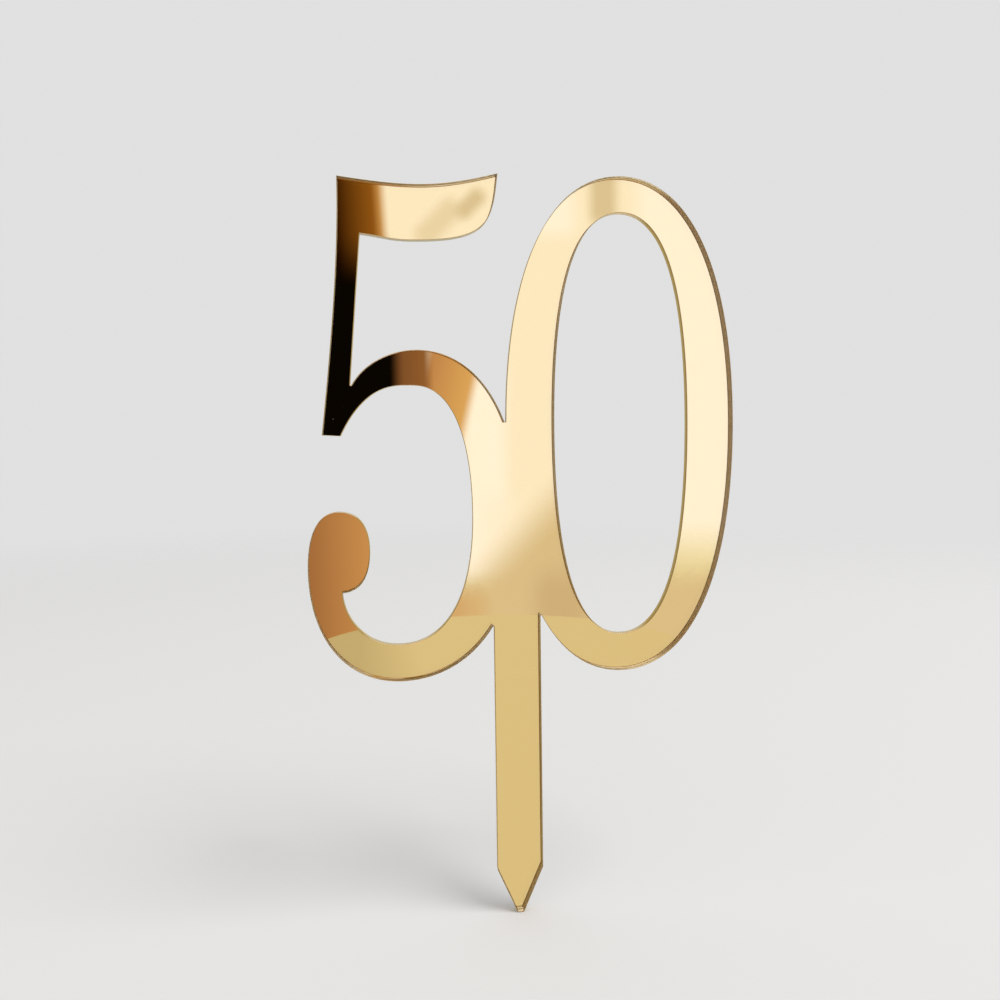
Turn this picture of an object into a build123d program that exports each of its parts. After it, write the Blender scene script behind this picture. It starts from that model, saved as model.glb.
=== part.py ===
from build123d import *
import os

# A number cake topper: the figures 5 and 0 and one stake, cut by laser in a single
# pass from one gold mirror acrylic sheet. The sheet is a laminate of three layers:
# the clear gold acrylic in front, the bright metal coat behind it, and the paint
# that keeps the coat from being scratched.
# All sizes are in millimetres. X runs to the right along the figures, Y runs from
# the mirrored front to the painted back, and Z runs up. The origin lies on the
# stake's middle line, in the middle of the sheet, at the level of the figures' bases.

# Laminate, from front to back
sheet_thickness = 3.0
mirror_coat_thickness = 0.02
back_paint_thickness = 0.08

# Smallest inside corner that the laser beam leaves
inside_corner_radius = 0.25

# Stake
stake_width = 14.3
stake_depth = 75.0
stake_point_length = 14.0
stake_tip_width = 2.0

# Figure 5: bowl and its hollow
bowl_right_x = 1.15
bowl_width = 63.35
bowl_height = 98.8
bowl_waist_z = 50.0
bowl_side_stroke = 14.35
bowl_crown_stroke = 10.45
bowl_base_stroke = 11.0

# How far the crowns and bases of bowl and hollow stand to the right of the bowl's middle
bowl_crown_shift = 1.3
bowl_base_shift = -4.6
hollow_crown_shift = 0.5
hollow_base_shift = -4.9

# Figure 5: ball at the end of the bowl, with its insets from the bowl's left side
ball_width = 18.15
ball_top_inset = 9.1
ball_notch_inset = 9.8
ball_top_z = 51.5
ball_right_drop = 11.6
ball_left_drop = 17.3
ball_notch_drop = 24.15

# Figure 5: stem, inset from the bowl's left side, and flag
five_height = 150.0
stem_inset = 11.25
stem_top_width = 6.1
stem_lean = 6.1
stem_foot_width = 5.25
stem_foot_drop = 24.7
stem_foot_slope = 0.35
stem_valley_inset = 2.2
stem_valley_drop = 11.2
flag_length = 46.65
flag_tip_rise = 1.7
flag_depth = 16.1
flag_belly_inset = 20.7
flag_belly_drop = 1.75

# Figure 0, which runs into the side of the bowl
figure_overlap = 3.9
zero_width = 71.15
zero_height = 150.0
zero_side_stroke = 14.75
zero_top_stroke = 10.6
zero_base_stroke = 11.5

# Fullness of the quarter ovals: 0.55 is a true ellipse, and more is squarer
bowl_fullness = 0.605
hollow_fullness = 0.633
ball_fullness = 0.638
zero_fullness = 0.623
counter_fullness = 0.66

# Handles of the free curves, as steps in X and Z away from the curve's end
flag_root_handle = (20.9, -2.75)
flag_tip_top_handle = (-17.5, -4.5)
flag_tip_end_handle = (-1.55, -14.7)
flag_belly_end_handle = (22.7, 0)
flag_belly_root_handle = (-6.0, 0)
flag_corner_handle = (6.0, -0.7)
stem_valley_handle = (4.4, 8.4)
bowl_crown_handle = (-6.0, 0)
ball_right_handle = (0, -6.8)
ball_notch_handle = (6.4, 0.3)
hollow_notch_handle = (0.25, -7.6)
hollow_base_handle = (-10.9, 0)
hollow_crown_handle = (-4.0, 0)
hollow_foot_handle = (8.0, 16.6)
stem_foot_handle = (3.05, 24.7)
stem_top_handle = (0, -23.9)


def free_curve(start, start_handle, end_handle, end):
    """Draw a curve that leaves start along its handle and ends along the other."""
    Bezier(start, Vector(start) + start_handle, Vector(end) + end_handle, end)


def quarter_oval(side, crown, fullness):
    """Draw a quarter of an oval that is upright at side and level at crown."""
    reach = Vector(side) - Vector(crown)
    free_curve(side, (0, -fullness * reach.Y), (fullness * reach.X, 0), crown)


def oval(center_x, half_width, base_z, top_z, fullness):
    """Draw a closed oval from four quarters about its own middle."""
    middle_z = (base_z + top_z) / 2
    for side_x in (center_x - half_width, center_x + half_width):
        for crown_z in (base_z, top_z):
            quarter_oval((side_x, middle_z), (center_x, crown_z), fullness)


# Upright lines that the 5 hangs on
bowl_left_x = bowl_right_x - bowl_width
bowl_middle_x = bowl_right_x - bowl_width / 2
stem_left_x = bowl_left_x + stem_inset

# Corners and extremes of the 5, as X and Z
flag_root = (stem_left_x, five_height - flag_tip_rise)
flag_tip = (stem_left_x + flag_length, five_height)
flag_corner = (stem_left_x + stem_top_width, flag_root[1] - flag_depth)
flag_belly = (stem_left_x + flag_belly_inset, flag_corner[1] - flag_belly_drop)
stem_valley = (stem_left_x + stem_valley_inset, bowl_height - stem_valley_drop)
foot_left = (stem_left_x - stem_lean, bowl_height - stem_foot_drop)
foot_right = (foot_left[0] + stem_foot_width, foot_left[1] - stem_foot_slope)
bowl_crown = (bowl_middle_x + bowl_crown_shift, bowl_height)
bowl_right = (bowl_right_x, bowl_waist_z)
bowl_base = (bowl_middle_x + bowl_base_shift, 0)
bowl_left = (bowl_left_x, ball_top_z - ball_left_drop)
ball_top = (bowl_left_x + ball_top_inset, ball_top_z)
ball_right = (bowl_left_x + ball_width, ball_top_z - ball_right_drop)
ball_notch = (bowl_left_x + ball_notch_inset, ball_top_z - ball_notch_drop)
hollow_base = (bowl_middle_x + hollow_base_shift, bowl_base_stroke)
hollow_right = (bowl_right_x - bowl_side_stroke, bowl_waist_z)
hollow_crown = (bowl_middle_x + hollow_crown_shift, bowl_height - bowl_crown_stroke)

# Place of the 0
zero_half_width = zero_width / 2
zero_center_x = bowl_right_x - figure_overlap + zero_half_width

# Planes of the laminate. Their normals point to the front.
back_plane = Plane.XZ.offset(-sheet_thickness / 2)
paint_plane = back_plane.offset(back_paint_thickness)
coat_plane = paint_plane.offset(mirror_coat_thickness)

# The whole laminate as the laser cuts it
with BuildPart() as blank:
    with BuildSketch(back_plane):
        # Figure 5, once round from the root of its flag
        with BuildLine():
            free_curve(flag_root, flag_root_handle, flag_tip_top_handle, flag_tip)
            free_curve(flag_tip, flag_tip_end_handle, flag_belly_end_handle, flag_belly)
            free_curve(flag_belly, flag_belly_root_handle, flag_corner_handle, flag_corner)
            Line(flag_corner, stem_valley)
            free_curve(stem_valley, stem_valley_handle, bowl_crown_handle, bowl_crown)
            quarter_oval(bowl_right, bowl_crown, bowl_fullness)
            quarter_oval(bowl_right, bowl_base, bowl_fullness)
            quarter_oval(bowl_left, bowl_base, bowl_fullness)
            quarter_oval(bowl_left, ball_top, ball_fullness)
            quarter_oval(ball_right, ball_top, ball_fullness)
            free_curve(ball_right, ball_right_handle, ball_notch_handle, ball_notch)
            free_curve(ball_notch, hollow_notch_handle, hollow_base_handle, hollow_base)
            quarter_oval(hollow_right, hollow_base, hollow_fullness)
            quarter_oval(hollow_right, hollow_crown, hollow_fullness)
            free_curve(hollow_crown, hollow_crown_handle, hollow_foot_handle, foot_right)
            Line(foot_right, foot_left)
            free_curve(foot_left, stem_foot_handle, stem_top_handle, flag_root)
        make_face()

        # Outside of figure 0
        with BuildLine():
            oval(zero_center_x, zero_half_width, 0, zero_height, zero_fullness)
        make_face()

        # Stake, from the bowl's waist down to its blunt point
        with BuildLine():
            Polyline(
                (-stake_width / 2, bowl_waist_z),
                (-stake_width / 2, stake_point_length - stake_depth),
                (-stake_tip_width / 2, -stake_depth),
                (stake_tip_width / 2, -stake_depth),
                (stake_width / 2, stake_point_length - stake_depth),
                (stake_width / 2, bowl_waist_z),
                close=True,
            )
        make_face()
    extrude(amount=sheet_thickness)

    # The beam's radius in every inside corner, where figures and stake run together
    through_edges = blank.edges().filter_by(Axis.Y)
    fillet(through_edges.filter_by(lambda edge: edge.is_interior), inside_corner_radius)

    # Counter of figure 0
    with BuildSketch(back_plane):
        with BuildLine():
            oval(
                zero_center_x,
                zero_half_width - zero_side_stroke,
                zero_base_stroke,
                zero_height - zero_top_stroke,
                counter_fullness,
            )
        make_face()
    extrude(amount=sheet_thickness, mode=Mode.SUBTRACT)

# Clear gold acrylic, in front of the coat
with BuildPart() as acrylic_sheet:
    add(blank.part)
    split(bisect_by=coat_plane, keep=Keep.TOP)
acrylic_sheet.part.label = "acrylic_sheet"

# Bright metal coat on the back of the acrylic
with BuildPart() as mirror_coat:
    add(blank.part)
    split(bisect_by=coat_plane, keep=Keep.BOTTOM)
    split(bisect_by=paint_plane, keep=Keep.TOP)
mirror_coat.part.label = "mirror_coat"

# Protective paint over the coat
with BuildPart() as back_paint:
    add(blank.part)
    split(bisect_by=paint_plane, keep=Keep.BOTTOM)
back_paint.part.label = "back_paint"

os.makedirs("parts", exist_ok=True)
export_step(acrylic_sheet.part, "parts/acrylic_sheet.step")
export_step(mirror_coat.part, "parts/mirror_coat.step")
export_step(back_paint.part, "parts/back_paint.step")
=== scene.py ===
# %% [markdown]
# A number cake topper in gold mirror acrylic: the figures 5 and 0 and one stake, cut by
# laser from a single sheet. The sheet is a laminate. In front lies clear acrylic dyed gold,
# behind it a film of bright aluminium, and behind that a coat of grey paint.
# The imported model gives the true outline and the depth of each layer. This lesson builds
# finer layers on that outline, gives them real optical materials and lights them as a small
# product shot. Lengths are in metres, X runs to the right, Y to the back and Z up.

# %% Load the frame
import math

import bpy
import numpy as np
from mathutils.geometry import tessellate_polygon
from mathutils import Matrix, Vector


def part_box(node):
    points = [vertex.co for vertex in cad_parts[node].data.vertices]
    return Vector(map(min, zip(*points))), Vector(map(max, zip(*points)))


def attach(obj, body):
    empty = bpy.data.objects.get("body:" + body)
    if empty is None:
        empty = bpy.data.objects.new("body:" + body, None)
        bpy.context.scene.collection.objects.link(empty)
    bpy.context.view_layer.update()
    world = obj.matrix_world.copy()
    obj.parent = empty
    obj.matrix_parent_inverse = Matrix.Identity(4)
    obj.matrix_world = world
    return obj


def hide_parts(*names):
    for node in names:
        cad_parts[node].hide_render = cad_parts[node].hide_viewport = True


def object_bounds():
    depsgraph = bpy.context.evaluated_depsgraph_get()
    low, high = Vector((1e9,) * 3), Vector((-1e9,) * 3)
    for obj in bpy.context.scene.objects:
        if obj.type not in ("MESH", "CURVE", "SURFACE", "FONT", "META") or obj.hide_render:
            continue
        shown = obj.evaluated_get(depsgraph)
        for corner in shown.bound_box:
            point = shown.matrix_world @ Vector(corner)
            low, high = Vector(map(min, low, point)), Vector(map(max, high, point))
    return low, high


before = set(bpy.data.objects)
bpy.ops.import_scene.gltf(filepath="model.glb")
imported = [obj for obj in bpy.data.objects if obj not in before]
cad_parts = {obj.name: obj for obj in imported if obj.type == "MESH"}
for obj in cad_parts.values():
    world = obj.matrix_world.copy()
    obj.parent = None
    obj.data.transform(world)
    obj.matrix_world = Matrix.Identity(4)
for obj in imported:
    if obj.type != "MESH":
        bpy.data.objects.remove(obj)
cad_low, cad_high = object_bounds()
scene = bpy.context.scene
MM = 0.001
print("CAD nodes:", sorted(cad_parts))
print("CAD box in mm:", [round((high - low) / MM, 2) for low, high in zip(cad_low, cad_high)])

# %% [markdown]
# The camera comes first, because the mirror shows whatever lies around it, and that depends
# on where the eye is. It stands left of the topper at mid-height, turned a little to the
# right and tipped a little down. A constraint could aim it at the topper, but a place and
# three plain turns in degrees, about X, Y and Z, also hold the slight roll of the picture.

# %% Camera
CAMERA_PLACE = (-45.72 * MM, -283.4 * MM, 75.94 * MM)
CAMERA_TURN = (85.583, 0.791, -8.307)
CAMERA_LENS = 34.2
CAMERA_SENSOR = 36
CAMERA_NEAREST = 1 * MM

camera_data = bpy.data.cameras.new("camera")
camera_data.lens = CAMERA_LENS
camera_data.sensor_width = CAMERA_SENSOR
camera_data.clip_start = CAMERA_NEAREST
camera = bpy.data.objects.new("camera", camera_data)
camera.location = CAMERA_PLACE
camera.rotation_euler = [math.radians(turn) for turn in CAMERA_TURN]
scene.collection.objects.link(camera)
scene.camera = camera
print("camera", round(-camera.location.y / MM), "mm in front of the sheet")

# %% [markdown]
# Every layer of the sheet has the same outline, so it is read once, from the front edge of
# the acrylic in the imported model. There it is made of straight sides. Redrawing the figures
# by hand would risk a mismatch. Rounding the corners blindly would lose the sharp ones. The
# model's own wall normals say how the true curve leaves each point, so a cubic through each
# side's two ends and two directions gives the curve back, with its corners as they are.

# %% Read the outline
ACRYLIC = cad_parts["acrylic_sheet"]
FRONT_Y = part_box("acrylic_sheet")[0].y
XZ = [0, 2]
ON_PLANE = 1e-7


def read_mesh(items, key, width, kind=float):
    """One property of all items of a mesh, as rows of a width."""
    values = np.empty(len(items) * width, kind)
    items.foreach_get(key, values)
    return values.reshape(-1, width)


def outline_sides(mesh, y):
    """Ends and end directions of the sides in which the walls of a mesh meet the plane at y.
    A wall triangle with two corners on the plane owns one side. The direction along the wall
    is its normal turned by a quarter about Y."""
    points = read_mesh(mesh.vertices, "co", 3)
    corners = read_mesh(mesh.loops, "vertex_index", 1, int).reshape(-1, 3)
    normals = read_mesh(mesh.corner_normals, "vector", 3).reshape(-1, 3, 3)
    on_plane = np.abs(points[corners, 1] - y) < ON_PLANE
    walls = on_plane.sum(1) == 2
    corners, normals, on_plane = corners[walls], normals[walls], on_plane[walls]
    first = np.argmax(on_plane & np.roll(on_plane, -1, axis=1), axis=1)
    pick = np.stack([first, (first + 1) % 3], axis=1)
    rows = np.arange(len(corners))[:, None]
    ends = points[corners[rows, pick]][:, :, XZ]
    normal = normals[rows, pick][:, :, XZ]
    along = np.stack([normal[..., 1], -normal[..., 0]], axis=-1)
    return ends, along / np.linalg.norm(along, axis=-1, keepdims=True)


side_ends, side_along = outline_sides(ACRYLIC.data, FRONT_Y)
print("the outline has", len(side_ends), "straight sides")

# %% [markdown]
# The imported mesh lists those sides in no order. Going round from side to side would take a
# loop over them all. Here the sides met so far are moved on together, so each pass doubles
# them, and a ring of hundreds of sides is followed in a few passes.

# %% Order the outline
SAME_POINT = 1e-8


def follow(following, start):
    """Indices met from start, stepping to the following one until start comes round again.
    Each pass appends all indices met so far, moved on by as many steps as they are long."""
    met = np.array([start])
    leap = following
    while not (met[1:] == start).any():
        met = np.concatenate([met, leap[met]])
        leap = leap[leap]
    return met[: 1 + np.flatnonzero(met[1:] == start)[0]]


def ring_order(ends):
    """Sides of each closed ring in running order, the longest ring first. Sides follow each
    other where one ends at the point at which the next begins."""
    rounded = np.round(ends.reshape(-1, 2) / SAME_POINT)
    _, ids = np.unique(rounded, axis=0, return_inverse=True)
    starts, stops = ids.reshape(-1, 2).T
    side_from = np.empty(ids.max() + 1, int)
    side_from[starts] = np.arange(len(starts))
    following = side_from[stops]
    left = np.arange(len(starts))
    rings = []
    while len(left):
        rings.append(follow(following, left[0]))
        left = np.setdiff1d(left, rings[-1])
    return sorted(rings, key=len, reverse=True)


side_rings = ring_order(side_ends)
print("outline rings with", [len(ring) for ring in side_rings], "sides")

# %% [markdown]
# Each straight side is now divided along its curve. A Subdivision Surface modifier rounds
# too, but it also pulls every corner in. The cubic keeps each point of the model in place.

# %% Refine the outline
OUTLINE_STEP = 0.55 * MM
FEWEST_STEPS = 2


def fine_ring(ends, along, step):
    """Points about step apart on the smooth closed curve through a ring of sides.
    With a side's ends a and b, and u and v its unit directions there times its length, the
    curve is (1 + 2t)(1 - t)^2 a + t(1 - t)^2 u + t^2 (3 - 2t) b - t^2 (1 - t) v, t from 0
    to 1."""
    chord = np.linalg.norm(ends[:, 1] - ends[:, 0], axis=1)
    count = np.maximum(np.ceil(chord / step).astype(int), FEWEST_STEPS)
    side = np.repeat(np.arange(len(ends)), count)
    t = np.arange(len(side)) - np.repeat(np.cumsum(count) - count, count)
    t = (t / count[side])[:, None]
    a, b = ends[side, 0], ends[side, 1]
    u, v = along[side, 0] * chord[side, None], along[side, 1] * chord[side, None]
    rise, fall = t * t * (3 - 2 * t), (1 + 2 * t) * (1 - t) ** 2
    return fall * a + t * (1 - t) ** 2 * u + rise * b - t * t * (1 - t) * v


RINGS = [fine_ring(side_ends[ring], side_along[ring], OUTLINE_STEP) for ring in side_rings]
print("outline rings with", [len(ring) for ring in RINGS], "points")

# %% [markdown]
# A layer of the sheet is a profile carried along the outline. The profile is a short list of
# stations, each with an inset from the outline and a depth Y, from the rim of the front face
# round the edge to the rim of the back face. A beam never cuts quite square, so the wall
# also leans a little to the right on its way to the back. Modifiers such as Solidify and
# Bevel could do most of this, but a bevel this small breaks in the tight inside corners.

# %% Carry a profile round the outline
CUT_LEAN = 0.065


def mitres(ring):
    """Outward steps that move every side of a ring out by one unit: the sum of the normals of
    the sides before and after a point, divided by one plus their product."""
    side = np.roll(ring, -1, axis=0) - ring
    side /= np.linalg.norm(side, axis=1, keepdims=True)
    after = np.stack([-side[:, 1], side[:, 0]], axis=1)
    before = np.roll(after, 1, axis=0)
    return (before + after) / (1 + (before * after).sum(1, keepdims=True))


def running_length(path):
    """Length along a row of points from the first to each of them: the sum of the steps."""
    steps = np.linalg.norm(np.diff(path, axis=0), axis=1)
    return np.concatenate([[0], np.cumsum(steps)])


def belt(ring, profile, first):
    """Grid of a profile carried along a ring: the point (ring, station) is the ring's point
    moved in by the station's inset, at the station's depth, and moved right by the lean of
    the cut times its depth behind the front. Returns points, the four-cornered faces between
    neighbours, numbered from first, and the map of the faces' corners: the run along the
    ring, and the run across the profile."""
    stations, count = len(profile), len(ring)
    inset, depth = profile[:, 0], profile[:, 1]
    flat = ring - inset[:, None, None] * mitres(ring)
    deep = np.broadcast_to(depth[:, None], (stations, count))
    right = flat[..., 0] + CUT_LEAN * (deep - FRONT_Y)
    points = np.stack([right, deep, flat[..., 1]], axis=-1).reshape(-1, 3)

    row, here = np.meshgrid(np.arange(stations - 1), np.arange(count), indexing="ij")
    there = (here + 1) % count
    near, far = row * count, (row + 1) * count
    corners = [near + here, near + there, far + there, far + here]
    faces = first + np.stack(corners, axis=-1).reshape(-1, 4)

    along = running_length(np.vstack([ring, ring[:1]]))
    across = running_length(profile[:, :2])
    u = along[np.stack([here, here + 1, here + 1, here], axis=-1)]
    v = across[np.stack([row, row, row + 1, row + 1], axis=-1)]
    return points, faces, np.stack([u, v], axis=-1).reshape(-1, 2)


longest_mitre = max(np.linalg.norm(mitres(ring), axis=1).max() for ring in RINGS)
print("the sharpest corner moves", round(longest_mitre, 2), "times as far as its sides")

# %% [markdown]
# The carried profile is a closed belt, and the two flat faces are filled inside its rims.
# Belt and faces take different finishes, so the belt has a material slot of its own. The
# finishes also change along the cut, so every point keeps two numbers for them: rim, which
# the profile states, and level, which is 1 where the cut runs level and 0 where it runs up
# or down. Painting such values by hand is the other way, but it can't follow an edge so fine.

# %% Build a layer
SHARP_ANGLE = math.radians(30)


def level_share(ring):
    """How level the cut runs at each point of a ring: the size of the upright share of the
    outward direction, from 0 where the cut runs up or down to 1 where it runs level."""
    outward = mitres(ring)
    return np.abs(outward[:, 1]) / np.linalg.norm(outward, axis=1)


def flat_fill(points, rims, towards):
    """Triangles that fill the flat face between an outer rim and the holes in it, turned so
    that they face along Y with the sign of towards. Triangles of no area are left out."""
    order = np.concatenate(rims)
    loops = [np.pad(points[rim][:, XZ], ((0, 0), (0, 1))).tolist() for rim in rims]
    corners = order[np.array(tessellate_polygon(loops))]
    edge_a = points[corners[:, 1]] - points[corners[:, 0]]
    edge_b = points[corners[:, 2]] - points[corners[:, 0]]
    facing = np.cross(edge_a, edge_b)[:, 1] * towards
    corners, facing = corners[facing != 0], facing[facing != 0]
    return np.where(facing[:, None] > 0, corners, corners[:, ::-1])


def keep_values(mesh, name, values):
    """Keep one number for each point of a mesh, in lists of values that follow each other."""
    attribute = mesh.attributes.new(name, "FLOAT", "POINT")
    attribute.data.foreach_set("value", np.concatenate(values).astype(np.float32))


def make_layer(name, profile, node):
    """Closed layer of the sheet from a profile of (inset, depth, rim) stations. The third
    value is kept as the point attribute rim, and the level share of the cut as the attribute
    level. The belt's faces take material slot 1 and the flat faces slot 0."""
    profile = np.array(profile)
    stations = len(profile)
    counts = np.array([len(ring) for ring in RINGS])
    firsts = stations * (np.cumsum(counts) - counts)
    belts = [belt(ring, profile, first) for ring, first in zip(RINGS, firsts)]
    points, faces, runs = [np.concatenate(arrays) for arrays in zip(*belts)]
    front = [first + np.arange(count) for first, count in zip(firsts, counts)]
    back = [rim + (stations - 1) * len(rim) for rim in front]
    fills = np.concatenate([flat_fill(points, front, -1), flat_fill(points, back, 1)])

    mesh = bpy.data.meshes.new(name)
    mesh.from_pydata(points.tolist(), [], faces.tolist() + fills.tolist())
    mesh.set_sharp_from_angle(angle=SHARP_ANGLE)
    is_belt = np.arange(len(faces) + len(fills)) < len(faces)
    mesh.polygons.foreach_set("use_smooth", is_belt)
    mesh.polygons.foreach_set("material_index", is_belt.astype(np.int32))
    cut_run = np.concatenate([runs, points[fills.ravel()][:, XZ]]).astype(np.float32)
    mesh.uv_layers.new(name="cut_run").uv.foreach_set("vector", cut_run.ravel())
    keep_values(mesh, "rim", [np.repeat(profile[:, 2], count) for count in counts])
    keep_values(mesh, "level", [np.tile(level_share(ring), stations) for ring in RINGS])

    piece = bpy.data.objects.new(name, mesh)
    scene.collection.objects.link(piece)
    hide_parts(node)
    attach(piece, "root")
    print(name, "has", len(points), "points and", len(faces) * 2 + len(fills), "triangles")
    return piece


print("each station of a profile takes", sum(len(ring) for ring in RINGS), "points")

# %% [markdown]
# The acrylic is almost the whole thickness. The beam melts a tiny round lip on the front
# edge, which catches the light as a thin line, so the profile starts with a quarter circle.
# Its back reaches a hair into the metal film, because real metal is bonded to the acrylic
# with no air between them, and two faces in the same place would leave the renderer to guess
# which comes first. Its rim value runs down the wall, from 0 at the lip to 1 at the back.

# %% Acrylic panel
LIP_RADIUS = 0.12 * MM
LIP_STEPS = 5
BOND = 0.01 * MM
ACRYLIC_BACK_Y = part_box("acrylic_sheet")[1].y

lip_turn = np.linspace(0, math.pi / 2, LIP_STEPS)
lip_inset = LIP_RADIUS * (1 - np.sin(lip_turn))
lip_depth = FRONT_Y + LIP_RADIUS * (1 - np.cos(lip_turn))
lip = np.column_stack([lip_inset, lip_depth, np.zeros(LIP_STEPS)])
wall_foot = (0, ACRYLIC_BACK_Y + BOND, 1)
acrylic_panel = make_layer("acrylic_panel", np.vstack([lip, wall_foot]), "acrylic_sheet")

# %% [markdown]
# The metal film is thinner than a hair's width even as drawn. The heat of the cut burns it
# back from the edge a little and dulls a narrow rim. A noise over the whole film could not
# stay at the edge, so its profile starts with three stations on the front face, and their
# rim value rises from 0 inside to 1 at the burnt edge.

# %% Mirror film
BURN_BACK = 0.05 * MM
SCORCHED = BURN_BACK + 0.05 * MM
UNHURT = BURN_BACK + 0.11 * MM
SCORCH = 0.35
COAT_FRONT_Y, COAT_BACK_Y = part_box("mirror_coat")[0].y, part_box("mirror_coat")[1].y

mirror_profile = [
    (UNHURT, COAT_FRONT_Y, 0),
    (SCORCHED, COAT_FRONT_Y, SCORCH),
    (BURN_BACK, COAT_FRONT_Y, 1),
    (BURN_BACK, COAT_BACK_Y, 1),
]
mirror_film = make_layer("mirror_film", mirror_profile, "mirror_coat")

# %% [markdown]
# The paint guards the film. At the cut it has a soft shoulder, and smoke from the beam has
# stained it within about a millimetre of the edge, so it too carries a rim value. The
# shoulder needs only one station between its ends, because it is finer than a pixel.

# %% Paint layer
PAINT_FRONT_Y, PAINT_BACK_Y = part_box("back_paint")[0].y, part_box("back_paint")[1].y
PAINT_SETBACK = 0.02 * MM
SHOULDER = 0.04 * MM
STAIN_WEAKENS = 0.4 * MM
STAIN_ENDS = 0.9 * MM
WEAK_STAIN = 0.4

paint_profile = [
    (PAINT_SETBACK, PAINT_FRONT_Y, 1),
    (PAINT_SETBACK, PAINT_BACK_Y - SHOULDER, 1),
    (PAINT_SETBACK + SHOULDER / 4, PAINT_BACK_Y - SHOULDER / 4, 1),
    (PAINT_SETBACK + SHOULDER, PAINT_BACK_Y, 1),
    (STAIN_WEAKENS, PAINT_BACK_Y, WEAK_STAIN),
    (STAIN_ENDS, PAINT_BACK_Y, 0),
]
paint_layer = make_layer("paint_layer", paint_profile, "back_paint")

# %% [markdown]
# Materials are small networks of nodes. They could be put together by hand in the Shader
# Editor. Here each helper adds one node and returns the output that the next one needs, so a
# finish reads as a short recipe. A plain value is set on a socket, and another node's output
# is linked to it. The first finish's helpers come here, and others where they are needed.

# %% Node helpers
def set_sockets(tree, node, sockets):
    """Fill sockets of a node: another node's output is linked, any other value is set."""
    for name, value in sockets.items():
        if isinstance(value, bpy.types.NodeSocket):
            tree.links.new(value, node.inputs[name])
        else:
            node.inputs[name].default_value = value


def add_node(tree, kind, sockets=None, **settings):
    """Add one shader node to a tree, with its settings and its sockets."""
    node = tree.nodes.new("ShaderNode" + kind)
    for name, value in settings.items():
        setattr(node, name, value)
    set_sockets(tree, node, sockets or {})
    return node


def new_finish(name):
    """A new material with its node tree and its main shader."""
    finish = bpy.data.materials.new(name)
    finish.use_nodes = True
    return finish, finish.node_tree, finish.node_tree.nodes["Principled BSDF"]


def object_place(tree):
    """Place of a point on the object, in metres."""
    return add_node(tree, "TexCoord").outputs["Object"]


def noise(tree, place, scale, detail, distortion=0):
    """Cloudy pattern from 0 to 1 over a place, with about scale clouds to the metre."""
    sockets = {"Vector": place, "Scale": scale, "Detail": detail, "Distortion": distortion}
    return add_node(tree, "TexNoise", sockets).outputs["Fac"]


def bump(tree, height, strength, distance):
    """Normal of a surface that a pattern raises by up to a distance, at a strength."""
    sockets = {"Height": height, "Strength": strength, "Distance": distance}
    return add_node(tree, "Bump", sockets).outputs["Normal"]


def ramp(tree, value, source=(0, 1), target=(0, 1), smooth=False):
    """Value carried from a source range to a target range, evenly or with soft ends."""
    sockets = {"Value": value, "From Min": source[0], "From Max": source[1]}
    sockets.update({"To Min": target[0], "To Max": target[1]})
    course = "SMOOTHSTEP" if smooth else "LINEAR"
    return add_node(tree, "MapRange", sockets, interpolation_type=course).outputs["Result"]


def calculate(tree, operation, *values):
    """One number from several, by an operation of the Math node."""
    return add_node(tree, "Math", dict(enumerate(values)), operation=operation).outputs["Value"]


# %% [markdown]
# Gold mirror acrylic owes its colour to dye in the clear plastic, not to gold metal. Light
# crosses the sheet twice, and the dye takes out much of the blue and some of the green.
# A volume that absorbs gives that depth of colour, and where light runs along the
# sheet to a cut edge it turns brown by itself, which a tinted surface would not do.

# %% Dyed acrylic
ACRYLIC_IOR = 1.49
DYE_COLOUR = (0.995, 0.79, 0.03, 1)
DYE_DENSITY = 180


def dyed_acrylic(tree, shader):
    """Give a finish the acrylic's refraction and the absorbing volume of the gold dye."""
    set_sockets(tree, shader, {"IOR": ACRYLIC_IOR})
    dye = add_node(tree, "VolumeAbsorption", {"Color": DYE_COLOUR, "Density": DYE_DENSITY})
    set_sockets(tree, tree.nodes["Material Output"], {"Volume": dye.outputs["Volume"]})


two_passes = 2 * (ACRYLIC_BACK_Y - FRONT_Y)
light_left = np.exp(-DYE_DENSITY * (1 - np.array(DYE_COLOUR[:3])) * two_passes)
print("red, green and blue left after two passes:", light_left.round(2))

# %% [markdown]
# The polished face is almost perfect. What shows that it is real are specks of dust, a faint
# wiped haze and the slight waviness of cast sheet, which bends straight reflections a little.
# Noise on the object's own coordinates drives all three. A picture of dust would do too, but
# it repeats. The face's own faint reflection is tinted warm, because a neutral one would lay
# a cold veil over the darker gold.

# %% Polished face
CLEAR_COLOUR = (1, 1, 1, 1)
WARM_SHEEN = (1.0, 0.95, 0.5, 1)
WAVE_SCALE, WAVE_DETAIL = 38, 1
WAVE_STRENGTH, WAVE_HEIGHT = 1.0, 0.004 * MM
DUST_SCALE = 210
DUST_SIZE = (0.018, 0.03)
DUST_DRAW = 0.62
DUST_ROUGHNESS = 0.5
SMEAR_SCALE, SMEAR_DETAIL, SMEAR_DISTORTION = 55, 3, 0.6
SMEAR_SPAN = (0.5, 0.8)
HAZE_ROUGHNESS = 0.02

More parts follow.
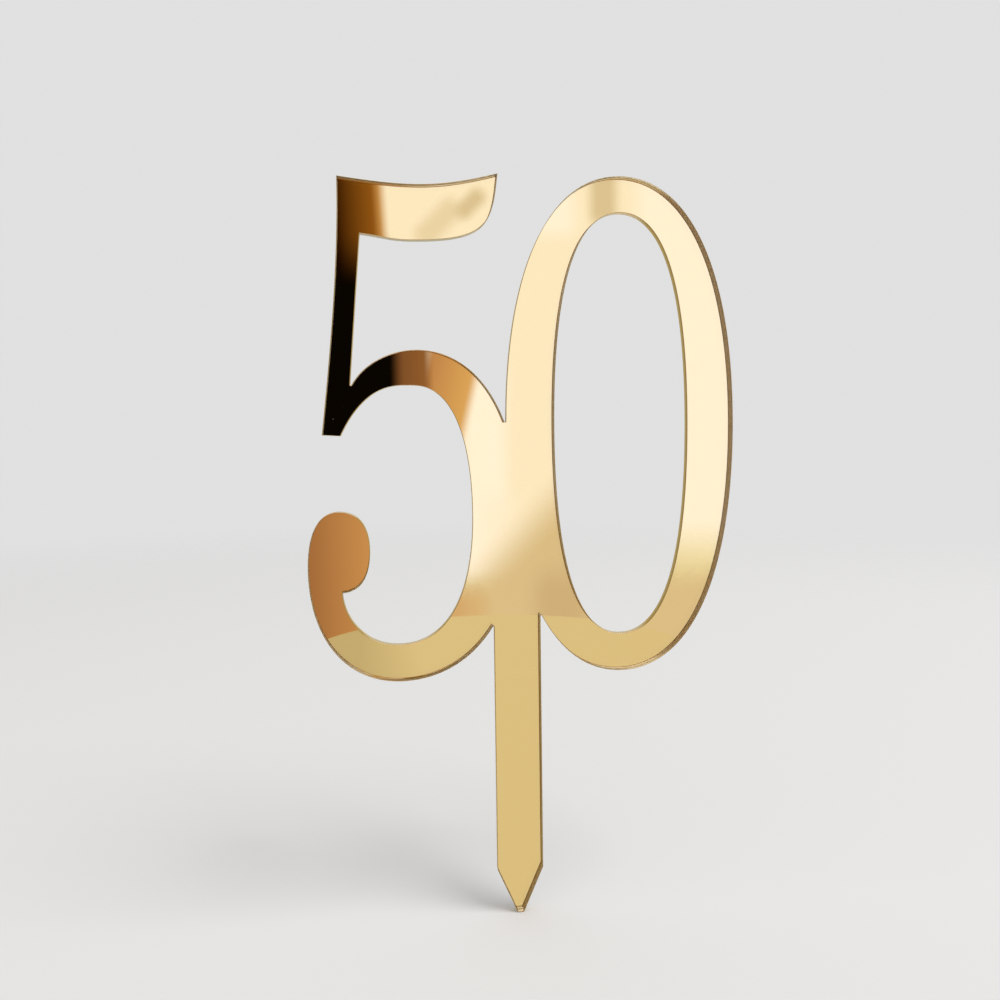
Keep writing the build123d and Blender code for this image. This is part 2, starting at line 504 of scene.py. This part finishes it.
polished, tree, shader = new_finish("gold_acrylic_polished")
dyed_acrylic(tree, shader)
place = object_place(tree)
waves = noise(tree, place, WAVE_SCALE, WAVE_DETAIL)
cells = add_node(tree, "TexVoronoi", {"Vector": place, "Scale": DUST_SCALE, "Randomness": 1})
speck = ramp(tree, cells.outputs["Distance"], DUST_SIZE, (1, 0))
draw = add_node(tree, "SeparateColor", {"Color": cells.outputs["Color"]}).outputs["Red"]
drawn = calculate(tree, "GREATER_THAN", draw, DUST_DRAW)
dust = calculate(tree, "MULTIPLY", speck, drawn)
smears = noise(tree, place, SMEAR_SCALE, SMEAR_DETAIL, SMEAR_DISTORTION)
haze = ramp(tree, smears, SMEAR_SPAN, (0, HAZE_ROUGHNESS))
polished_sockets = {
    "Base Color": CLEAR_COLOUR,
    "Transmission Weight": 1,
    "Specular Tint": WARM_SHEEN,
    "Roughness": calculate(tree, "MULTIPLY_ADD", dust, DUST_ROUGHNESS, haze),
    "Normal": bump(tree, waves, WAVE_STRENGTH, WAVE_HEIGHT),
}
set_sockets(tree, shader, polished_sockets)
print("finish:", polished.name)

# %% [markdown]
# The beam melts the wall of the cut and leaves fine lines across the thickness where it
# pulsed. How clear the wall comes out depends on the way the beam travels. Level runs are
# half clear and glossy, and painted a paler gold: painted light, for what walls facing up and
# down catch from above and below. Upright runs are satin and nearly opaque, in a browner gold.
# Towards the front the wall is darker. Two materials would show a seam where they meet, so
# one finish blends both by the points' own numbers, level and rim. The lines follow the
# outline, so they are read from the belt's map, along the cut.

# %% Laser-cut edge
EDGE_PALE = (0.64, 0.43, 0.045, 1)
EDGE_DARK = (0.47, 0.3, 0.022, 1)
# Darker gold towards the front of the wall.
EDGE_FRONT_DARK = (0.26, 0.155, 0.012, 1)
# Paler gold of the level runs: painted light, for what walls facing up and down catch.
EDGE_LEVEL_LIT = (0.9, 0.74, 0.34, 1)
SATIN_ROUGHNESS = (0.18, 0.34)
CLEAN_ROUGHNESS = 0.05
EDGE_SPECULAR = 0.15
LEVEL_SPAN = (0.72, 0.97)
CLEAR_UPRIGHT, CLEAR_LEVEL = 0.1, 0.5
# How far down the wall the darker gold reaches from the front, and its share at the front.
FRONT_DARK_REACH, FRONT_DARK_SHARE = 0.6, 0.7
DRIFT_SCALE, DRIFT_DETAIL = 300, 2
LINE_SCALE, LINE_DETAIL = 4200, 2
LINE_STRETCH = (1, 0.06, 1)
LINE_STRENGTH, LINE_DEPTH = 0.08, 0.03 * MM


def point_value(tree, name):
    """Number that each point of the layer keeps under a name."""
    return add_node(tree, "Attribute", attribute_name=name).outputs["Fac"]


def mix(tree, share, first, second, data_type="RGBA"):
    """Colour, or number with the data type FLOAT, between two by a share from 0 to 1."""
    sockets = {"Factor": share, "A": first, "B": second}
    return add_node(tree, "Mix", sockets, data_type=data_type).outputs["Result"]


def dress(piece, face_finish, belt_finish):
    """Give a layer the finish of its flat faces, slot 0, and of its belt, slot 1."""
    piece.data.materials.append(face_finish)
    piece.data.materials.append(belt_finish)


cut_edge, tree, shader = new_finish("gold_acrylic_cut_edge")
dyed_acrylic(tree, shader)
cut_run = add_node(tree, "UVMap", uv_map="cut_run").outputs["UV"]
stretched = add_node(tree, "Mapping", {"Vector": cut_run, "Scale": LINE_STRETCH})
beam_lines = noise(tree, stretched.outputs["Vector"], LINE_SCALE, LINE_DETAIL)
drift = noise(tree, cut_run, DRIFT_SCALE, DRIFT_DETAIL)
# Level runs are clearer and glossier, and painted lighter as if lit from above and below.
level_clear_and_lit = ramp(tree, point_value(tree, "level"), LEVEL_SPAN, smooth=True)
# Darker towards the front of the wall: the share falls as the rim value rises.
front_dark_span, front_dark_share = (0, FRONT_DARK_REACH), (FRONT_DARK_SHARE, 0)
front_dark = ramp(tree, point_value(tree, "rim"), front_dark_span, front_dark_share, smooth=True)
gold = mix(tree, drift, EDGE_DARK, EDGE_PALE)
front_darkened_gold = mix(tree, front_dark, gold, EDGE_FRONT_DARK)
satin = ramp(tree, drift, target=SATIN_ROUGHNESS)
cut_edge_sockets = {
    # Painted light: the level runs take the paler gold, as if lit from above and below.
    "Base Color": mix(tree, level_clear_and_lit, front_darkened_gold, EDGE_LEVEL_LIT),
    "Roughness": mix(tree, level_clear_and_lit, satin, CLEAN_ROUGHNESS, "FLOAT"),
    "Normal": bump(tree, beam_lines, LINE_STRENGTH, LINE_DEPTH),
    "Transmission Weight": ramp(tree, level_clear_and_lit, target=(CLEAR_UPRIGHT, CLEAR_LEVEL)),
    "Specular IOR Level": EDGE_SPECULAR,
}
set_sockets(tree, shader, cut_edge_sockets)
dress(acrylic_panel, polished, cut_edge)
print("finish:", cut_edge.name)

# %% [markdown]
# The mirror is aluminium laid on the back of the acrylic as vapour. Here it is a metal with
# almost no roughness, and the dyed acrylic in front of it makes it gold. A gold metal alone
# would be less work, but it would lack the depth between face and film. Towards the cut, the
# rim value burns the film brown and dull, in patches.

# %% Aluminium mirror
ALUMINIUM = (0.93, 0.93, 0.935, 1)
BURNT = (0.32, 0.27, 0.2, 1)
MIRROR_ROUGHNESS = (0.004, 0.5)
MOTTLE_SCALE, MOTTLE_DETAIL = 900, 3
BURN_SPAN = (0.1, 0.5)

mirror, tree, shader = new_finish("aluminium_mirror")
mottle = noise(tree, object_place(tree), MOTTLE_SCALE, MOTTLE_DETAIL)
patches = calculate(tree, "MULTIPLY", point_value(tree, "rim"), mottle)
burn = ramp(tree, patches, BURN_SPAN)
mirror_sockets = {
    "Base Color": mix(tree, burn, ALUMINIUM, BURNT),
    "Metallic": 1,
    "Roughness": ramp(tree, burn, target=MIRROR_ROUGHNESS),
}
set_sockets(tree, shader, mirror_sockets)
dress(mirror_film, mirror, mirror)
print("finish:", mirror.name)

# %% [markdown]
# The back is sprayed with matt grey paint. Spray dries with a fine pebbled skin and small
# changes of tone, and the beam's smoke leaves a brown stain along the cut. The pebbles are
# too fine to model, so a bump from noise stands for them.

# %% Grey back paint
PAINT_LIGHT = (0.23, 0.23, 0.235, 1)
PAINT_DARK = (0.17, 0.17, 0.175, 1)
PAINT_ROUGHNESS = (0.42, 0.62)
SMOKE = (0.09, 0.06, 0.035, 1)
TONE_SCALE, TONE_DETAIL = 90, 5
PUFF_SCALE, PUFF_DETAIL = 420, 3
STAIN_SPAN = (0.08, 0.75)
PEBBLE_SCALE, PEBBLE_DETAIL = 2600, 2
PEBBLE_STRENGTH, PEBBLE_HEIGHT = 0.4, 0.04 * MM

paint, tree, shader = new_finish("grey_back_paint")
place = object_place(tree)
tone = noise(tree, place, TONE_SCALE, TONE_DETAIL)
grey = mix(tree, tone, PAINT_LIGHT, PAINT_DARK)
puffs = noise(tree, place, PUFF_SCALE, PUFF_DETAIL)
settled = calculate(tree, "MULTIPLY", point_value(tree, "rim"), puffs)
stain = ramp(tree, settled, STAIN_SPAN)
pebbles = noise(tree, place, PEBBLE_SCALE, PEBBLE_DETAIL)
paint_sockets = {
    "Base Color": mix(tree, stain, grey, SMOKE),
    "Roughness": ramp(tree, tone, target=PAINT_ROUGHNESS),
    "Normal": bump(tree, pebbles, PEBBLE_STRENGTH, PEBBLE_HEIGHT),
}
set_sockets(tree, shader, paint_sockets)
dress(paint_layer, paint, paint)
print("finish:", paint.name)

# %% [markdown]
# The set has a pale floor, a hair under the tip of the stake. A curved backdrop is the usual
# way to hide the horizon, but it would show in the mirror. Here the floor gives way to clear
# air with distance instead, so no line crosses the picture.

# %% Floor
FLOOR_Z = cad_low.z - 0.2 * MM
FLOOR_REACH = 1.4
FLOOR_FADE = (0.55, 1.3)
FLOOR_COLOUR = (0.8, 0.795, 0.785, 1)
FLOOR_ROUGHNESS = 0.9
FLOOR_SPECULAR = 0.1
SQUARE = np.array([[-1, -1], [1, -1], [1, 1], [-1, 1]])


def stage_sheet(name, corners, card_map=None):
    """Flat stage piece with these corners. Its map gives each corner a pair of card_map."""
    mesh = bpy.data.meshes.new(name)
    mesh.from_pydata(np.array(corners).tolist(), [], [range(len(corners))])
    if card_map is not None:
        pairs = np.array(card_map, np.float32)
        mesh.uv_layers.new(name="card").uv.foreach_set("vector", pairs.ravel())
    sheet = bpy.data.objects.new(name, mesh)
    scene.collection.objects.link(sheet)
    return sheet


def length(tree, vector):
    """Length of a vector."""
    return add_node(tree, "VectorMath", {0: vector}, operation="LENGTH").outputs["Value"]


def fade_out(tree, surface, fade):
    """Let a surface give way to clear air as fade goes from 0 to 1."""
    air = add_node(tree, "BsdfTransparent").outputs["BSDF"]
    seen = add_node(tree, "MixShader", {0: fade, 1: surface, 2: air}).outputs["Shader"]
    set_sockets(tree, tree.nodes["Material Output"], {"Surface": seen})


floor_corners = np.column_stack([SQUARE * FLOOR_REACH, np.full(len(SQUARE), FLOOR_Z)])
floor = stage_sheet("floor", floor_corners)
floor_finish, tree, shader = new_finish("pale_floor")
floor_sockets = {
    "Base Color": FLOOR_COLOUR,
    "Roughness": FLOOR_ROUGHNESS,
    "Specular IOR Level": FLOOR_SPECULAR,
}
set_sockets(tree, shader, floor_sockets)
floor_fade = ramp(tree, length(tree, object_place(tree)), FLOOR_FADE, smooth=True)
fade_out(tree, shader.outputs["BSDF"], floor_fade)
floor.data.materials.append(floor_finish)
print("floor at", round(FLOOR_Z / MM, 1), "mm")

# %% [markdown]
# The room is a plain grey world, which lights the object from all sides. The eye, mirrors
# and clear plastic see it at full strength, and it lights matt surfaces a little less. That
# way the background keeps its tone while the light is set. One large soft lamp, high on the
# right in front, gives the light a direction. Several small lamps would dot the mirror.

# %% Room and lamp
ROOM_COLOUR = (0.75, 0.75, 0.75, 1)
ROOM_LIGHT, ROOM_SEEN = 0.84, 1.0
LAMP_SIZE = 2.4
LAMP_POWER = 80
LAMP_PLACE = (1.8, -1.4, 3.4)
LAMP_TURN = (22, 26, 0)

world = bpy.data.worlds.new("room")
scene.world = world
world.use_nodes = True
tree = world.node_tree
ray = add_node(tree, "LightPath").outputs
looks = calculate(tree, "MAXIMUM", ray["Is Camera Ray"], ray["Is Glossy Ray"])
looks = calculate(tree, "MAXIMUM", looks, ray["Is Transmission Ray"])
strength = ramp(tree, looks, target=(ROOM_LIGHT, ROOM_SEEN))
set_sockets(tree, tree.nodes["Background"], {"Color": ROOM_COLOUR, "Strength": strength})

lamp_data = bpy.data.lights.new("soft_lamp", "AREA")
lamp_data.shape = "DISK"
lamp_data.size = LAMP_SIZE
lamp_data.energy = LAMP_POWER
lamp = bpy.data.objects.new("soft_lamp", lamp_data)
lamp.location = LAMP_PLACE
lamp.rotation_euler = [math.radians(turn) for turn in LAMP_TURN]
scene.collection.objects.link(lamp)
print("lamp", LAMP_SIZE, "m wide,", round(lamp.location.length, 1), "m away")

# %% [markdown]
# A mirror has no look of its own, so its picture is made by what stands in front of it. A
# studio uses cards for that, and so does this set. Moving cards about until the picture is
# right takes many tries. Here each card is placed by the spot on the mirror where it should
# be seen, and the line of sight from the camera's mirror image through that spot gives its
# place. Cards show in reflections alone. They light no matt surface and cast no shadow.

# %% Place a card by its picture
MIRROR_Y = FRONT_Y + (COAT_FRONT_Y - FRONT_Y) / ACRYLIC_IOR


def sight(spot, distance):
    """Point at a distance in front of the mirror that the camera sees at a spot (x, z) on it:
    the spot moved away from the camera's own x and z, in the share of the two distances."""
    eye = np.array([camera.location.x, camera.location.z])
    share = distance / (MIRROR_Y - camera.location.y)
    right, up = spot + (spot - eye) * share
    return np.array([right, MIRROR_Y - distance, up])


def reflect_only(card):
    """Leave a stage piece to reflections: the camera doesn't see it, and it neither lights a
    matt surface nor casts a shadow."""
    card.visible_camera = False
    card.visible_diffuse = False
    card.visible_shadow = False


def glow(tree, place, span, left, right, fade):
    """Make a finish glow, in a colour that goes from left to right as the X of a place
    crosses a span, and give way to clear air as fade goes from 0 to 1."""
    x = add_node(tree, "SeparateXYZ", {"Vector": place}).outputs["X"]
    colour = mix(tree, ramp(tree, x, span), (*left, 1), (*right, 1))
    light = add_node(tree, "Emission", {"Color": colour, "Strength": 1})
    fade_out(tree, light.outputs["Emission"], fade)


def vector_math(tree, operation, *values):
    """One vector from others, by an operation of the Vector Math node."""
    node = add_node(tree, "VectorMath", dict(enumerate(values)), operation=operation)
    return node.outputs["Vector"]


def overshoot(tree, place, half, soft):
    """How far a place lies outside the reach half, both ways, counted in soft widths."""
    over = vector_math(tree, "ABSOLUTE", place)
    over = vector_math(tree, "SUBTRACT", over, (*half, 0))
    over = vector_math(tree, "DIVIDE", over, (*soft, 1))
    over = vector_math(tree, "MAXIMUM", over, (0, 0, 0))
    return length(tree, over)


def soft_card(name, across, up, soft, distance, left, right=None, tilt=0):
    """Glowing card with soft edges. Its reach across and up, its softness both ways and its
    distance are in millimetres, the first three as seen on the mirror. Its colour goes from
    left to right, or without a right one stays the same. The tilt is in degrees."""
    centre = np.array([sum(across), sum(up)]) / 2
    half = np.array([across[1] - across[0], up[1] - up[0]]) / 2
    edge = SQUARE * (half + soft)
    turn = math.radians(tilt)
    spin = np.array([[math.cos(turn), math.sin(turn)], [-math.sin(turn), math.cos(turn)]])
    spots = (centre + edge @ spin) * MM
    card = stage_sheet(name, [sight(spot, distance * MM) for spot in spots], edge)
    reflect_only(card)
    finish, tree, _ = new_finish(name)
    place = add_node(tree, "UVMap", uv_map="card").outputs["UV"]
    fade = ramp(tree, overshoot(tree, place, half, soft), smooth=True)
    glow(tree, place, (-half[0], half[0]), left, right or left, fade)
    card.data.materials.append(finish)
    print(name, "stands", distance, "mm in front of the mirror")


film_depth = round((MIRROR_Y - FRONT_Y) / MM, 2)
print("seen through the acrylic, the film lies", film_depth, "mm behind the face")

# %% [markdown]
# A large cream board far in front fills most of the mirror and makes it bright gold. Smaller
# boards before it brighten or shade single strokes of the figures. One board with a painted
# gradient would do the same, but separate soft cards can each be moved alone.

# %% Far boards
CREAM = (1.07, 1.09, 1.5)
BRIGHT_CREAM = (1.13, 1.19, 1.85)
SHADE = (0.78, 0.73, 0.81)
PALE_SHADE = (0.9, 0.87, 1.06)

soft_card("white_board", (-300, 360), (-110, 410), (20, 20), 1500, CREAM)
soft_card("bright_board_right", (43, 90), (40, 190), (9, 10), 1450, BRIGHT_CREAM)
soft_card("bright_board_middle", (-12, -6), (34, 92), (7, 8), 1440, BRIGHT_CREAM)
soft_card("shade_bar", (26.5, 29.5), (140, 160), (5, 8), 1430, SHADE)
soft_card("bright_board_top", (10, 15), (137, 142), (8, 8), 1425, BRIGHT_CREAM)
soft_card("shade_slant_low", (-22.5, -21), (131, 141), (5, 6), 1420, PALE_SHADE, tilt=-45)
soft_card("shade_slant_high", (-12.6, -11.8), (139, 144), (4, 5), 1410, SHADE, tilt=-45)

# %% [markdown]
# Just behind the camera stand warm cards. Tan ones calm the lower strokes and the stake, and
# brown ones on the left give the 5 its dark side, without which gold looks flat. They stand
# one behind the other a few millimetres apart, so that the nearer covers the farther one.

# %% Near cards
TAN = (0.78, 0.695, 0.69)
ROSY_TAN = (0.76, 0.67, 0.65)
DARK_TAN = (0.68, 0.575, 0.55)
CLAY, PALE_CLAY = (0.72, 0.52, 0.42), (0.75, 0.58, 0.5)
RUSSET, AMBER = (0.35, 0.16, 0.1), (0.71, 0.41, 0.235)
COPPER, PALE_COPPER = (0.58, 0.315, 0.19), (0.76, 0.485, 0.267)
UMBER, PALE_UMBER = (0.1, 0.045, 0.035), (0.3, 0.138, 0.07)
HONEY, PALE_HONEY = (0.5, 0.26, 0.1), (0.62, 0.36, 0.17)
DARK_BROWN, BROWN = (0.02, 0.004, 0.0), (0.28, 0.11, 0.018)
BLACK = (0.003, 0.002, 0.001)

soft_card("cream_card_low", (-13, 6), (34, 50), (7, 9), 340, BRIGHT_CREAM, CREAM)
soft_card("tan_card", (-75, 80), (-90, 21), (20, 11), 332, TAN)
soft_card("tan_card_right", (20, 80), (-90, 20), (10, 16), 331, TAN)
soft_card("tan_card_slant", (-8, 36), (15, 39), (14, 16), 330, TAN, ROSY_TAN, 45)
soft_card("tan_card_warm", (-18, -14), (-20, 22), (9, 8), 328, CLAY, PALE_CLAY)
soft_card("tan_card_dark", (11, 17), (-20, 24), (10, 14), 326, DARK_TAN)
soft_card("amber_card_low", (-66, -38), (-14, 64), (10, 8), 322, RUSSET, AMBER)
soft_card("amber_card_high", (-27, -15.5), (60, 106), (4, 4), 318, COPPER, PALE_COPPER, -14)
soft_card("umber_card", (-44, -27), (60, 106), (3.5, 4), 314, UMBER, PALE_UMBER)
soft_card("amber_card_top", (-52, -39.5), (112, 170), (3.5, 4), 312, HONEY, PALE_HONEY, 3)
soft_card("brown_card", (-52, -41.5), (112, 170), (3.5, 4), 310, DARK_BROWN, BROWN, 3)
soft_card("black_card", (-90, -37), (66, 117), (4.5, 17), 306, BLACK)

# %% [markdown]
# Two cards lie flat in front of the sheet: a pale disc at the level of the figures' bases,
# and a wide low card just over the floor. They give the foot of the mirror something pale to
# show, and end straight along the sheet, a little before it. One finish serves both, so that
# they can't differ in tone. It fades where the low card would show its outer edge.

# %% Flat cards
DISC_CENTRE = (-2.3 * MM, -24.5 * MM)
DISC_RADIUS = 68 * MM
DISC_POINTS = 96
FLAT_GAP = 3 * MM
# The glow is darker on the left: painted shade, as on a surface lit from the right.
FLAT_SHADED, FLAT_LIT = (0.6, 0.54, 0.46), (0.77, 0.70, 0.63)
FLAT_SPAN = (-48 * MM, -28 * MM)
FLAT_FADE = (280 * MM, 420 * MM)
LOW_REACH = 450 * MM
LOW_Z = FLOOR_Z + 0.1 * MM

cut_off = math.acos((-FLAT_GAP - DISC_CENTRE[1]) / DISC_RADIUS)
turn = np.linspace(math.pi / 2 + cut_off, 5 * math.pi / 2 - cut_off, DISC_POINTS)
disc_x = DISC_CENTRE[0] + DISC_RADIUS * np.cos(turn)
disc_y = DISC_CENTRE[1] + DISC_RADIUS * np.sin(turn)
disc = stage_sheet("pale_disc", np.column_stack([disc_x, disc_y, np.zeros(DISC_POINTS)]))
low_corners = [
    (-LOW_REACH, -LOW_REACH, LOW_Z),
    (LOW_REACH, -LOW_REACH, LOW_Z),
    (LOW_REACH, -FLAT_GAP, LOW_Z),
    (-LOW_REACH, -FLAT_GAP, LOW_Z),
]
low_card = stage_sheet("low_card", low_corners)

flat_finish, tree, _ = new_finish("pale_disc")
place = object_place(tree)
flat_fade = ramp(tree, length(tree, place), FLAT_FADE, smooth=True)
glow(tree, place, FLAT_SPAN, FLAT_SHADED, FLAT_LIT, flat_fade)
for flat_card in (disc, low_card):
    reflect_only(flat_card)
    flat_card.data.materials.append(flat_finish)
    print(flat_card.name, "lies", round(flat_card.dimensions.x / MM), "mm wide")

# %% [markdown]
# The plain Standard view is used, because a filmic one would dull the bright gold.

# %% View transform
scene.view_settings.view_transform = "Standard"
